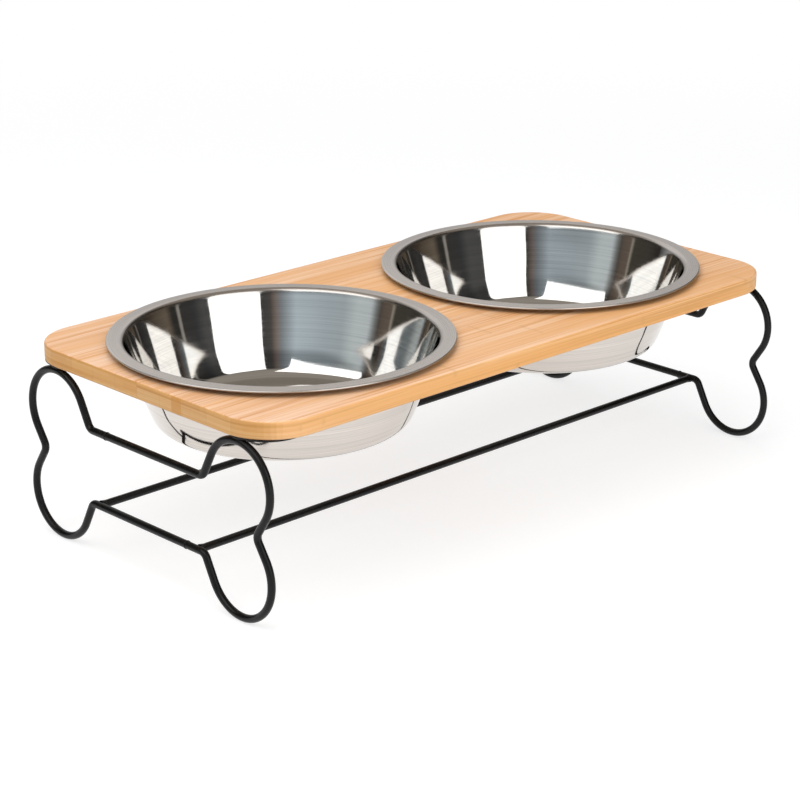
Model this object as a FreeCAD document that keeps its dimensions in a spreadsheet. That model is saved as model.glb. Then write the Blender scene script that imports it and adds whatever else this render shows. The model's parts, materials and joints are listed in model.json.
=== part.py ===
"""Double pet feeder: a bamboo board that holds two loose steel bowls, on a wire stand with bone-shaped ends.

Millimetres, +Z up. The origin is on the floor under the middle of the board. +X runs along the board and
-Y is the front. Each bone-shaped end is two alike bent wires, the second one turned by half a turn about
the X axis. The bowls set the size of the board, and the board sets the place of the stand.
"""

import FreeCAD
import Part

import math
import os

import Sketcher

Vector = FreeCAD.Vector

# The driving dimensions, one cell each.
SIZES = {
    # board: its margins are measured from the rims of the bowls
    "board_end_margin": 4.6,
    "board_side_margin": 6.0,
    "board_thickness": 9.8,
    "board_corner_radius": 30.0,
    "board_edge_radius": 1.2,
    "bowl_seat_clearance": 0.3,
    # bowls: outside sizes, heights measured from the top of the board
    "steel_thickness": 0.5,
    "bowl_neck_radius": 84.5,
    "bowl_wall_taper": 14.4,
    "bowl_depth": 44.6,
    "bowl_wall_bend_radius": 100.5,
    "bowl_wall_bend_rise": 17.4,
    "bowl_base_bend_radius": 9.5,
    "flange_bend_radius": 2.4,
    "flange_slope_angle": 2.0,
    "flange_width": 9.5,
    "rim_roll_radius": 0.6,
    "rim_roll_angle": 200.0,
    "rim_lift": 2.6,
    "bowl_gap": 14.8,
    # wire ends: sizes of the centre line, insets measured from the edges of the board
    "wire_diameter": 4.2,
    "bone_inset": 3.9,
    "lobe_inset": 25.2,
    "lobe_radius": 23.6,
    "lobe_gap": 0.2,
    "bar_drop": 2.8,
    "neck_gap": 2.6,
    "neck_bend_radius": 4.6,
    "waist_reach": 13.6,
    "waist_bend_radius": 5.0,
    # butt welds between the two halves of a bone, measured from the ends of the bars
    "seam_inset": 11.5,
    "seam_gap": 1.0,
    "seam_bead_height": 0.25,
    "seam_bead_round": 0.3,
    # rails and their welds, which keep to the straight part of the bars
    "rail_inset": 0.05,
    "rail_end_gap": 0.1,
    "rail_weld_foot": 0.5,
    "rail_weld_tip": 0.1,
    "rail_weld_length": 2.4,
    "rail_weld_bite": 0.9,
    # round plates on the lobes, and their welds
    "plate_radius": 20.0,
    "plate_thickness": 1.0,
    "plate_edge_radius": 0.3,
    "plate_lap": 1.6,
    "plate_offset": 1.5,
    "plate_hole_margin": 0.6,
    "plate_weld_gap": 0.1,
    "plate_weld_width": 2.6,
    "plate_weld_length": 6.0,
    "plate_weld_height": 1.7,
    "plate_weld_shift": 0.8,
    # screws through the plates into the board
    "screw_diameter": 3.5,
    "screw_length": 9.0,
    "screw_tip_length": 2.5,
    "screw_hole_clearance": 0.5,
    "screw_thread_clearance": 0.05,
    "screw_head_diameter": 7.0,
    "screw_head_height": 2.2,
    "screw_head_round": 1.2,
    "screw_slot_length": 3.6,
    "screw_slot_width": 0.9,
    "screw_slot_depth": 1.2,
}

# What follows from the driving dimensions, as formulas of the second sheet.
PLACES = {
    "rim_radius": "sizes.bowl_neck_radius + sizes.flange_width",
    "bowl_base_radius": "sizes.bowl_neck_radius - sizes.bowl_wall_taper",
    "wall_slant": "sqrt(sizes.bowl_wall_taper ^ 2 + sizes.bowl_depth ^ 2)",
    "seat_reach": "sizes.bowl_seat_clearance + sizes.board_edge_radius",
    "seat_run": "seat_reach * wall_slant - sizes.board_edge_radius * sizes.bowl_wall_taper",
    "seat_radius": "sizes.bowl_neck_radius - sizes.board_edge_radius",
    "bowl_hole_radius": "seat_radius + seat_run / sizes.bowl_depth",
    "bowl_x": "rim_radius + sizes.bowl_gap / 2",
    "half_width": "rim_radius + sizes.board_side_margin",
    "lobe_spread": "half_width - sizes.lobe_inset",
    "plate_spread": "lobe_spread + sizes.plate_offset",
    "plate_reach": "sizes.plate_radius - sizes.plate_lap",
    "plate_to_bowl": "bowl_hole_radius + sizes.plate_hole_margin + sizes.plate_radius",
    "plate_room": "sqrt(plate_to_bowl ^ 2 - plate_spread ^ 2) + plate_reach + sizes.bone_inset",
    "rim_room": "rim_radius + sizes.board_end_margin",
    "half_length": "bowl_x + max(rim_room; plate_room)",
    "wire_radius": "sizes.wire_diameter / 2",
    "bone_x": "half_length - sizes.bone_inset",
    "lobe_rise": "sizes.lobe_radius + sizes.lobe_gap / 2",
    "lobe_reach": "lobe_rise + sizes.lobe_radius",
    "bar_rise": "lobe_rise - sizes.bar_drop",
    "bar_half_length": "lobe_spread - sizes.lobe_radius - sizes.neck_gap - sizes.neck_bend_radius",
    "bone_z": "lobe_reach + wire_radius",
    "low_bar_z": "bone_z - bar_rise",
    "high_bar_z": "bone_z + bar_rise",
    "lobe_z": "bone_z + lobe_rise",
    "neck_z": "bar_rise + sizes.neck_bend_radius",
    "waist_y": "lobe_spread + sizes.waist_reach + sizes.waist_bend_radius",
    "seam_spread": "bar_half_length - sizes.seam_inset",
    "seam_start": "seam_spread + sizes.seam_gap / 2",
    "seam_end": "seam_spread - sizes.seam_gap / 2",
    "rail_spread": "bar_half_length - wire_radius - sizes.rail_weld_foot - sizes.rail_inset",
    "plate_z": "bone_z + lobe_reach + wire_radius + sizes.plate_weld_gap",
    "plate_x": "bone_x - plate_reach",
    "plate_hole_radius": "(sizes.screw_diameter + sizes.screw_hole_clearance) / 2",
    "board_z": "plate_z + sizes.plate_thickness",
    "board_top": "board_z + sizes.board_thickness",
    "base_inner_bend": "sizes.bowl_base_bend_radius - sizes.steel_thickness",
    "flange_top_bend": "sizes.flange_bend_radius + sizes.steel_thickness",
    "roll_inner_radius": "sizes.rim_roll_radius - sizes.steel_thickness",
    "roll_r": "rim_radius - sizes.rim_roll_radius",
    "roll_z": "sizes.rim_lift + sizes.rim_roll_radius",
    "rail_length": "2 * (bone_x - wire_radius - sizes.rail_end_gap)",
    "rail_weld_x": "bone_x - wire_radius + sizes.rail_weld_bite",
    "screw_radius": "sizes.screw_diameter / 2",
    "screw_pilot_radius": "screw_radius + sizes.screw_thread_clearance",
    "screw_pilot_depth": "sizes.screw_length - sizes.plate_thickness + sizes.screw_thread_clearance",
    "screw_shank_length": "sizes.screw_length - sizes.screw_tip_length",
}

SIDES = {"left": -1, "right": 1}
ENDS = {"front": -1, "rear": 1}

doc = FreeCAD.newDocument("double_pet_feeder")
sizes = doc.addObject("Spreadsheet::Sheet", "sizes")
places = doc.addObject("Spreadsheet::Sheet", "places")


def fill(sheet, cells, sign):
    """Writes one row for each cell: its name, and its value under that name."""
    for row, (alias, value) in enumerate(cells.items(), start=1):
        sheet.set(f"A{row}", alias)
        sheet.set(f"B{row}", f"{sign}{value}")
        sheet.setAlias(f"B{row}", alias)


def size(alias):
    """The value of a cell of either sheet."""
    return float((sizes if alias in SIZES else places).get(alias))


def cell(alias):
    """The same cell, as it is written in an expression."""
    return f"{'sizes' if alias in SIZES else 'places'}.{alias}"


def bind(thing, **expressions):
    """Binds properties to expressions. A name such as Placement_Base_x stands for Placement.Base.x."""
    for name, expression in expressions.items():
        thing.setExpression(name.replace("_", "."), expression)


def place(thing, x="0", y="0", z="0", turn=None):
    """Turns an object by (axis, degrees) and binds its position."""
    if turn:
        thing.Placement = FreeCAD.Placement(Vector(), FreeCAD.Rotation(*turn))
    bind(thing, Placement_Base_x=x, Placement_Base_y=y, Placement_Base_z=z)


def signed(sign, expression):
    return expression if sign > 0 else f"-({expression})"


def add(kind, name, **expressions):
    """A Part object whose properties are bound to expressions."""
    thing = doc.addObject(kind, name)
    bind(thing, **expressions)
    return thing


def cut(name, base, tool):
    thing = doc.addObject("Part::Cut", name)
    thing.Base = base
    thing.Tool = tool
    return thing


def group(name, solids):
    """Alike pieces that share one node."""
    thing = doc.addObject("Part::Compound", name)
    thing.Links = solids
    return thing


class Outline:
    """A sketch on one of a body's own planes, drawn as a chain of lines and arcs."""

    def __init__(self, body, name, plane):
        self.sketch = body.newObject("Sketcher::SketchObject", name)
        planes = {feature.Role: feature for feature in body.Origin.OriginFeatures}
        self.sketch.AttachmentSupport = [(planes[plane], "")]
        self.sketch.MapMode = "FlatFace"
        self.first = None
        self.last = None

    def line(self, start, end, smooth=True):
        shape = Part.LineSegment(Vector(*start, 0), Vector(*end, 0))
        return self._link(self.sketch.addGeometry(shape), 1, 2, smooth)

    def arc(self, centre, radius, start_angle, end_angle, smooth=True):
        """An arc between two angles in radians, run clockwise where the second one is smaller."""
        circle = Part.Circle(Vector(*centre, 0), Vector(0, 0, 1), radius)
        low, high = sorted((start_angle, end_angle))
        ends = (1, 2) if end_angle > start_angle else (2, 1)
        return self._link(self.sketch.addGeometry(Part.ArcOfCircle(circle, low, high)), *ends, smooth)

    def circle(self, centre, radius):
        return self.sketch.addGeometry(Part.Circle(Vector(*centre, 0), Vector(0, 0, 1), radius))

    def guide(self, place):
        """A construction point."""
        return self.sketch.addGeometry(Part.Point(Vector(*place, 0)), True)

    def _link(self, item, start, end, smooth):
        if self.last:
            self.rule("Tangent" if smooth else "Coincident", *self.last, item, start)
        self.first = self.first or (item, start)
        self.last = (item, end)
        return item

    def close(self, smooth=True):
        self.rule("Tangent" if smooth else "Coincident", *self.last, *self.first)

    def rule(self, kind, *items):
        return self.sketch.addConstraint(Sketcher.Constraint(kind, *items))

    def drive(self, kind, *items, value, to):
        """A dimension with its value now, bound to an expression."""
        index = self.sketch.addConstraint(Sketcher.Constraint(kind, *items, value))
        name = f"{kind.lower()}_{index}"
        self.sketch.renameConstraint(index, name)
        self.sketch.setExpression(f"Constraints.{name}", to)

    def radius(self, item, alias):
        self.drive("Radius", item, value=size(alias), to=cell(alias))

    def centre(self, item, x, y, to_x, to_y):
        """Holds the centre of an arc or circle at a place."""
        self.drive("DistanceX", item, 3, value=x, to=to_x)
        self.drive("DistanceY", item, 3, value=y, to=to_y)


def make_board():
    """The panel: a rounded rectangle with two bowl holes and four blind screw holes in its underside."""
    body = doc.addObject("PartDesign::Body", "bamboo_board")
    half_x = size("half_length")
    half_y = size("half_width")
    corner = size("board_corner_radius")
    rim = Outline(body, "board_rim", "XY_Plane")
    quarter = math.pi / 2
    corners = [(1, 1), (-1, 1), (-1, -1), (1, -1)]
    centres = [(sx * (half_x - corner), sy * (half_y - corner)) for sx, sy in corners]
    edges = []
    for turn, centre in enumerate(centres):
        bend = rim.arc(centre, corner, turn * quarter, (turn + 1) * quarter)
        rim.radius(bend, "board_corner_radius")
        ahead = Vector(math.cos((turn + 1) * quarter), math.sin((turn + 1) * quarter)) * corner
        follower = centres[(turn + 1) % len(centres)]
        start = (centre[0] + ahead.x, centre[1] + ahead.y)
        end = (follower[0] + ahead.x, follower[1] + ahead.y)
        edges.append(rim.line(start, end))
    rim.close()
    for edge, kind in zip(edges, ["Horizontal", "Vertical", "Horizontal", "Vertical"]):
        rim.rule(kind, edge)
    rim.drive("DistanceY", edges[0], 1, value=half_y, to="places.half_width")
    rim.drive("DistanceX", edges[1], 1, value=-half_x, to="-places.half_length")
    rim.drive("DistanceY", edges[2], 1, value=-half_y, to="-places.half_width")
    rim.drive("DistanceX", edges[3], 1, value=half_x, to="places.half_length")
    pad = body.newObject("PartDesign::Pad", "board_pad")
    pad.Profile = rim.sketch
    bind(pad, Length="sizes.board_thickness")

    bowl_holes = Outline(body, "bowl_holes", "XY_Plane")
    for sign in SIDES.values():
        hole = bowl_holes.circle((sign * size("bowl_x"), 0), size("bowl_hole_radius"))
        bowl_holes.radius(hole, "bowl_hole_radius")
        bowl_holes.drive("DistanceX", hole, 3, value=sign * size("bowl_x"), to=signed(sign, "places.bowl_x"))
        bowl_holes.rule("PointOnObject", hole, 3, -1)
    bowl_cut = body.newObject("PartDesign::Pocket", "bowl_cut")
    bowl_cut.Profile = bowl_holes.sketch
    bowl_cut.Type = "ThroughAll"
    bowl_cut.Reversed = True

    screw_holes = Outline(body, "screw_holes", "XY_Plane")
    for side in SIDES.values():
        for end in ENDS.values():
            x = side * size("plate_x")
            y = end * size("plate_spread")
            hole = screw_holes.circle((x, y), size("screw_pilot_radius"))
            screw_holes.radius(hole, "screw_pilot_radius")
            screw_holes.centre(hole, x, y, signed(side, "places.plate_x"), signed(end, "places.plate_spread"))
    screw_cut = body.newObject("PartDesign::Pocket", "screw_cut")
    screw_cut.Profile = screw_holes.sketch
    screw_cut.Type = "Length"
    screw_cut.Reversed = True
    bind(screw_cut, Length="places.screw_pilot_depth")

    doc.recompute()
    ease(body, screw_cut, "board_edge_radius", screw_holes.sketch.Shape.Edges)
    place(body, z="places.board_z")
    return body


def ease(body, feature, alias, left_sharp):
    """Rounds the edges of a flat panel's top and bottom, apart from edges as small as those of left_sharp."""
    tiny = Part.Precision.confusion()
    small = max(edge.Length for edge in left_sharp) + tiny
    flat = []
    for number, edge in enumerate(feature.Shape.Edges, start=1):
        if edge.BoundBox.ZLength < tiny and edge.Length > small:
            flat.append(f"Edge{number}")
    rounding = body.newObject("PartDesign::Fillet", f"{body.Name}_edges")
    rounding.Base = (feature, flat)
    bind(rounding, Radius=cell(alias))


def make_bowl(side, sign):
    """A pressed steel bowl: flat base, wall that curves in below its seat, flat flange and a rolled edge."""
    body = doc.addObject("PartDesign::Body", f"{side}_bowl")
    steel = size("steel_thickness")
    depth = size("bowl_depth")
    neck = size("bowl_neck_radius")
    base = size("bowl_base_radius")
    slope = math.radians(size("flange_slope_angle"))
    taper = math.atan2(neck - base, depth)

    def across(point, heading, distance):
        """A point moved to the left of a heading."""
        return (point[0] - math.sin(heading) * distance, point[1] + math.cos(heading) * distance)

    def along(point, heading, distance):
        return (point[0] + math.cos(heading) * distance, point[1] + math.sin(heading) * distance)

    def on_circle(centre, radius, angle):
        return along(centre, angle, radius)

    wall_heading = math.pi / 2 - taper
    flange_heading = -slope
    bend = size("bowl_base_bend_radius")
    sweep = size("bowl_wall_bend_radius")
    rise = size("bowl_wall_bend_rise")
    top_bend = size("flange_top_bend")
    roll = size("rim_roll_radius")
    roll_centre = (size("roll_r"), size("roll_z"))
    # the wide bend touches the wall line from inside at its rise above the base
    sweep_centre = across((base + rise * math.tan(taper), rise - depth), wall_heading, sweep)
    # the bend of the base touches the base line and the wide bend from inside
    bend_z = bend - depth
    join = math.asin((bend_z - sweep_centre[1]) / (sweep - bend))
    bend_centre = (on_circle(sweep_centre, sweep - bend, join)[0], bend_z)
    # the bend under the flange touches the wall line from outside and the flange line from below
    wall_point = across((neck, 0), wall_heading, -size("flange_bend_radius"))
    flange_point = across(roll_centre, flange_heading, roll - top_bend)
    gap = (flange_point[0] - wall_point[0], flange_point[1] - wall_point[1])
    turn = math.sin(wall_heading - flange_heading)
    run = (gap[1] * math.cos(flange_heading) - gap[0] * math.sin(flange_heading)) / turn
    neck_centre = along(wall_point, wall_heading, run)

    down = -math.pi / 2
    wall_angle = wall_heading - math.pi / 2
    neck_angle = wall_heading + math.pi / 2
    flange_angle = flange_heading + math.pi / 2
    roll_end = flange_angle - math.radians(size("rim_roll_angle"))
    under = size("roll_inner_radius")
    inner = bend - steel
    outside = size("flange_bend_radius")

    profile = Outline(body, f"{side}_bowl_profile", "XZ_Plane")
    base_line = profile.line((0, -depth), on_circle(bend_centre, bend, down))
    base_bend = profile.arc(bend_centre, bend, down, join)
    wall_bend = profile.arc(sweep_centre, sweep, join, wall_angle)
    wall_line = profile.line(
        on_circle(sweep_centre, sweep, wall_angle), on_circle(neck_centre, outside, neck_angle)
    )
    neck_bend = profile.arc(neck_centre, outside, neck_angle, flange_angle)
    profile.line(on_circle(neck_centre, outside, flange_angle), on_circle(roll_centre, under, flange_angle))
    roll_under = profile.arc(roll_centre, under, flange_angle, roll_end)
    profile.line(
        on_circle(roll_centre, under, roll_end), on_circle(roll_centre, roll, roll_end), smooth=False
    )
    roll_over = profile.arc(roll_centre, roll, roll_end, flange_angle, smooth=False)
    flange_line = profile.line(
        on_circle(roll_centre, roll, flange_angle), on_circle(neck_centre, top_bend, flange_angle)
    )
    crest = profile.arc(neck_centre, top_bend, flange_angle, neck_angle)
    profile.line(
        on_circle(neck_centre, top_bend, neck_angle), on_circle(sweep_centre, sweep - steel, wall_angle)
    )
    inner_wall_bend = profile.arc(sweep_centre, sweep - steel, wall_angle, join)
    inner_bend = profile.arc(bend_centre, inner, join, down)
    floor_line = profile.line(on_circle(bend_centre, inner, down), (0, steel - depth))
    profile.line((0, steel - depth), (0, -depth), smooth=False)
    profile.close(smooth=False)

    for line in (base_line, floor_line):
        profile.rule("Horizontal", line)
    profile.rule("PointOnObject", base_line, 1, -2)
    profile.rule("PointOnObject", floor_line, 2, -2)
    profile.drive("DistanceY", base_line, 1, value=-depth, to="-sizes.bowl_depth")
    bends = ((base_bend, inner_bend), (wall_bend, inner_wall_bend), (neck_bend, crest), (roll_under, roll_over))
    for one, other in bends:
        profile.rule("Coincident", one, 3, other, 3)
    profile.radius(wall_bend, "bowl_wall_bend_radius")
    bend_top = "sizes.bowl_wall_bend_rise - sizes.bowl_depth"
    profile.drive("DistanceY", wall_bend, 2, value=rise - depth, to=bend_top)
    profile.radius(base_bend, "bowl_base_bend_radius")
    profile.radius(inner_bend, "base_inner_bend")
    profile.radius(neck_bend, "flange_bend_radius")
    profile.radius(crest, "flange_top_bend")
    profile.radius(roll_under, "roll_inner_radius")
    profile.radius(roll_over, "rim_roll_radius")
    profile.centre(roll_over, *roll_centre, "places.roll_r", "places.roll_z")
    for r, z, alias, level in (
        (neck, 0, "bowl_neck_radius", -1),
        (base, -depth, "bowl_base_radius", base_line),
    ):
        mark = profile.guide((r, z))
        profile.drive("DistanceX", mark, 1, value=r, to=cell(alias))
        profile.rule("PointOnObject", mark, 1, level)
        profile.rule("PointOnObject", mark, 1, wall_line)
    flange_angle_rule = "180 deg - sizes.flange_slope_angle * 1 deg"
    profile.drive("Angle", flange_line, value=math.pi - slope, to=flange_angle_rule)

    spin = body.newObject("PartDesign::Revolution", f"{side}_bowl_spin")
    spin.Profile = profile.sketch
    spin.ReferenceAxis = (profile.sketch, ["V_Axis"])
    spin.Angle = 360
    place(body, x=signed(sign, "places.bowl_x"), z="places.board_top")
    return body


def crossing(start, end, radii, clockwise_first):
    """The heading of the line that leaves one circle and joins another one on its other side."""
    run = Vector(end[0] - start[0], end[1] - start[1])
    lean = math.asin(radii / run.Length)
    return math.atan2(run.y, run.x) + (-lean if clockwise_first else lean)


def make_wire(side, sign, end):
    """Half of a bone: a wire from the seam of the low bar, round both lobes, to the seam of the high bar."""
    body = doc.addObject("PartDesign::Body", f"{side}_{end}_wire")
    bar = size("bar_rise")
    neck_radius = size("neck_bend_radius")
    lobe_radius = size("lobe_radius")
    waist_radius = size("waist_bend_radius")
    neck = (-size("bar_half_length"), -size("neck_z"))
    lobe = (-size("lobe_spread"), -size("lobe_rise"))
    waist = (-size("waist_y"), 0)
    quarter = math.pi / 2
    flank = crossing(neck, lobe, neck_radius + lobe_radius, False)
    shoulder = crossing(lobe, waist, lobe_radius + waist_radius, True)

    def left_of(centre, radius, heading):
        """Where a line of that heading leaves a circle that lies on its left."""
        return (centre[0] + math.sin(heading) * radius, centre[1] - math.cos(heading) * radius)

    def mirrored(point):
        return (point[0], -point[1])

    neck_out = left_of(neck, neck_radius, flank)
    lobe_in = left_of(lobe, -lobe_radius, flank)
    lobe_out = left_of(lobe, -lobe_radius, shoulder)
    waist_in = left_of(waist, waist_radius, shoulder)

    lobe_start = 2 * math.pi - shoulder - quarter
    lobe_end = 2 * math.pi - flank - quarter

    spine = Outline(body, f"{side}_{end}_spine", "YZ_Plane")
    low = spine.line((-size("seam_start"), -bar), (neck[0], -bar))
    low_neck = spine.arc(neck, neck_radius, quarter, flank - quarter)
    spine.line(neck_out, lobe_in)
    low_lobe = spine.arc(lobe, lobe_radius, -lobe_end, -lobe_start)
    spine.line(lobe_out, waist_in)
    waist_bend = spine.arc(waist, waist_radius, shoulder - quarter, quarter - shoulder)
    spine.line(mirrored(waist_in), mirrored(lobe_out))
    high_lobe = spine.arc(mirrored(lobe), lobe_radius, lobe_start, lobe_end)
    spine.line(mirrored(lobe_in), mirrored(neck_out))
    high_neck = spine.arc(mirrored(neck), neck_radius, quarter - flank, -quarter)
    high = spine.line((neck[0], bar), (size("seam_end"), bar))

    for line in (low, high):
        spine.rule("Horizontal", line)
    spine.drive("DistanceX", low, 1, value=-size("seam_start"), to="-places.seam_start")
    spine.drive("DistanceY", low, 1, value=-bar, to="-places.bar_rise")
    spine.drive("DistanceX", high, 2, value=size("seam_end"), to="places.seam_end")
    spine.drive("DistanceY", high, 2, value=bar, to="places.bar_rise")
    for bend, alias in (
        (low_neck, "neck_bend_radius"),
        (high_neck, "neck_bend_radius"),
        (low_lobe, "lobe_radius"),
        (high_lobe, "lobe_radius"),
        (waist_bend, "waist_bend_radius"),
    ):
        spine.radius(bend, alias)
    for bend in (low_neck, high_neck):
        spine.drive("DistanceX", bend, 3, value=neck[0], to="-places.bar_half_length")
    spine.centre(low_lobe, *lobe, "-places.lobe_spread", "-places.lobe_rise")
    spine.centre(high_lobe, *mirrored(lobe), "-places.lobe_spread", "places.lobe_rise")
    spine.drive("DistanceX", waist_bend, 3, value=waist[0], to="-places.waist_y")
    spine.rule("PointOnObject", waist_bend, 3, -1)

    section = Outline(body, f"{side}_{end}_section", "XZ_Plane")
    bind(section.sketch, AttachmentOffset_Base_z="places.seam_start")
    ring = section.circle((0, -bar), size("wire_radius"))
    section.radius(ring, "wire_radius")
    section.drive("DistanceY", ring, 3, value=-bar, to="-places.bar_rise")
    section.rule("PointOnObject", ring, 3, -2)

    doc.recompute()
    pipe = body.newObject("PartDesign::AdditivePipe", f"{side}_{end}_pipe")
    pipe.Profile = section.sketch
    pipe.Spine = (spine.sketch, [f"Edge{n}" for n in range(1, len(spine.sketch.Shape.Edges) + 1)])
    half_turn = (Vector(1, 0, 0), 180) if end == "rear" else None
    place(body, x=signed(sign, "places.bone_x"), z="places.bone_z", turn=half_turn)
    return body


def make_rail(end, sign):
    """A straight wire between the low bars of the two bones."""
    rail = add("Part::Cylinder", f"{end}_rail", Radius="places.wire_radius", Height="places.rail_length")
    place(
        rail,
        x="-places.rail_length / 2",
        y=signed(sign, "places.rail_spread"),
        z="places.low_bar_z",
        turn=(Vector(0, 1, 0), 90),
    )
    return rail


def make_butt_welds():
    """A rounded bead in each gap between two wires: in front on the low bar, at the rear on the high bar."""
    beads = []
    for side, sign in SIDES.items():
        for end, y, z in (
            ("front", "-places.seam_start", "places.low_bar_z"),
            ("rear", "places.seam_end", "places.high_bar_z"),
        ):
            name = f"{side}_{end}_bead"
            bead = add(
                "Part::Cylinder",
                f"{name}_blank",
                Radius="places.wire_radius + sizes.seam_bead_height",
                Height="sizes.seam_gap",
            )
            place(bead, x=signed(sign, "places.bone_x"), y=y, z=z, turn=(Vector(1, 0, 0), -90))
            doc.recompute()
            rounded = doc.addObject("Part::Fillet", name)
            rounded.Base = bead
            radius = size("seam_bead_round")
            circles = [n for n, edge in enumerate(bead.Shape.Edges, start=1) if len(edge.Vertexes) == 1]
            rounded.Edges = [(n, radius, radius) for n in circles]
            beads.append(rounded)
    return group("butt_welds", beads)


def make_rail_welds():
    """A cone of weld metal round each rail end, cut to the rail and to the bar that it meets."""
    welds = []
    for side, side_sign in SIDES.items():
        for end, end_sign in ENDS.items():
            name = f"{side}_{end}_rail_weld"
            y = signed(end_sign, "places.rail_spread")
            cone = add(
                "Part::Cone",
                f"{name}_cone",
                Radius1="places.wire_radius + sizes.rail_weld_foot",
                Radius2="places.wire_radius + sizes.rail_weld_tip",
                Height="sizes.rail_weld_length",
            )
            x = signed(side_sign, "places.rail_weld_x")
            place(cone, x=x, y=y, z="places.low_bar_z", turn=(Vector(0, 1, 0), -90 * side_sign))
            bar = add(
                "Part::Cylinder",
                f"{name}_bar",
                Radius="places.wire_radius",
                Height="2 * places.bar_half_length",
            )
            bar_x = signed(side_sign, "places.bone_x")
            place(
                bar, x=bar_x, y="-places.bar_half_length", z="places.low_bar_z", turn=(Vector(1, 0, 0), -90)
            )
            rail = add(
                "Part::Cylinder",
                f"{name}_rail",
                Radius="places.wire_radius",
                Height="places.rail_length",
            )
            place(rail, x="-places.rail_length / 2", y=y, z="places.low_bar_z", turn=(Vector(0, 1, 0), 90))
            welds.append(cut(name, cut(f"{name}_on_bar", cone, bar), rail))
    return group("rail_welds", welds)


def make_plate(side, side_sign, end, end_sign):
    """A round steel plate on top of a lobe, with a screw hole in its middle."""
    body = doc.addObject("PartDesign::Body", f"{side}_{end}_plate")
    outline = Outline(body, f"{side}_{end}_plate_outline", "XY_Plane")
    for alias in ("plate_radius", "plate_hole_radius"):
        ring = outline.circle((0, 0), size(alias))
        outline.radius(ring, alias)
        outline.rule("Coincident", ring, 3, -1, 1)
    pad = body.newObject("PartDesign::Pad", f"{side}_{end}_plate_pad")
    pad.Profile = outline.sketch
    bind(pad, Length="sizes.plate_thickness")
    doc.recompute()
    ease(body, pad, "plate_edge_radius", outline.sketch.Shape.Edges[1:])
    place(
        body,
        x=signed(side_sign, "places.plate_x"),
        y=signed(end_sign, "places.plate_spread"),
        z="places.plate_z",
    )
    return body


def make_plate_welds():
    """Weld metal between each lobe and its plate: half an ellipsoid under the plate, cut to the wire."""
    welds = []
    for side, side_sign in SIDES.items():
        for end, end_sign in ENDS.items():
            name = f"{side}_{end}_plate_weld"
            y = signed(end_sign, "places.lobe_spread")
            pool = add(
                "Part::Ellipsoid",
                f"{name}_pool",
                Radius1="sizes.plate_weld_height",
                Radius2="sizes.plate_weld_width",
                Radius3="sizes.plate_weld_length",
            )
            pool.Angle1 = -90
            pool.Angle2 = 0
            x = signed(side_sign, "places.bone_x - sizes.plate_weld_shift")
            place(pool, x=x, y=y, z="places.plate_z")
            lobe = add(
                "Part::Torus",
                f"{name}_lobe",
                Radius1="sizes.lobe_radius",
                Radius2="places.wire_radius",
            )
            lobe_x = signed(side_sign, "places.bone_x")
            place(lobe, x=lobe_x, y=y, z="places.lobe_z", turn=(Vector(0, 1, 0), 90))
            welds.append(cut(name, pool, lobe))
    return group("plate_welds", welds)


def make_screw(name, x, y):
    """A pan-head wood screw that points up, with a cross recess in the underside of its head."""
    head = add(
        "Part::Cylinder",
        f"{name}_head_blank",
        Radius="sizes.screw_head_diameter / 2",
        Height="sizes.screw_head_height",
    )
    place(head, z="-sizes.screw_head_height")
    doc.recompute()
    pan = doc.addObject("Part::Fillet", f"{name}_pan")
    pan.Base = head
    lowest = [
        number
        for number, edge in enumerate(head.Shape.Edges, start=1)
        if edge.BoundBox.ZMax < head.Shape.BoundBox.Center.z
    ]
    pan.Edges = [(number, size("screw_head_round"), size("screw_head_round")) for number in lowest]
    shank = add(
        "Part::Cylinder", f"{name}_shank", Radius="places.screw_radius", Height="places.screw_shank_length"
    )
    tip = add("Part::Cone", f"{name}_tip", Radius1="places.screw_radius", Height="sizes.screw_tip_length")
    tip.Radius2 = 0
    place(tip, z="places.screw_shank_length")
    blank = doc.addObject("Part::MultiFuse", f"{name}_blank")
    blank.Shapes = [pan, shank, tip]
    slots = []
    for way, (length, width) in {
        "long": ("sizes.screw_slot_length", "sizes.screw_slot_width"),
        "cross": ("sizes.screw_slot_width", "sizes.screw_slot_length"),
    }.items():
        slot = add("Part::Box", f"{name}_{way}_slot", Length=length, Width=width)
        bind(slot, Height="sizes.screw_slot_depth")
        place(slot, x=f"-{length} / 2", y=f"-{width} / 2", z="-sizes.screw_head_height")
        slots.append(slot)
    recess = doc.addObject("Part::MultiFuse", f"{name}_recess")
    recess.Shapes = slots
    screw = cut(name, blank, recess)
    place(screw, x=x, y=y, z="places.plate_z")
    return screw


def make_screws():
    screws = []
    for side, side_sign in SIDES.items():
        for end, end_sign in ENDS.items():
            x = signed(side_sign, "places.plate_x")
            y = signed(end_sign, "places.plate_spread")
            screws.append(make_screw(f"{side}_{end}_screw", x, y))
    return group("board_screws", screws)


def check(parts):
    """Stops if the document has a failed object, or a piece has no sound solid."""
    for thing in doc.Objects:
        if {"Invalid", "Error"} & set(thing.State):
            raise RuntimeError(f"{thing.Name} failed: {thing.State}")
    for part in parts:
        if part.Shape.isNull() or not part.Shape.isValid() or not part.Shape.Solids:
            raise RuntimeError(f"{part.Label} has no sound solid")


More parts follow.
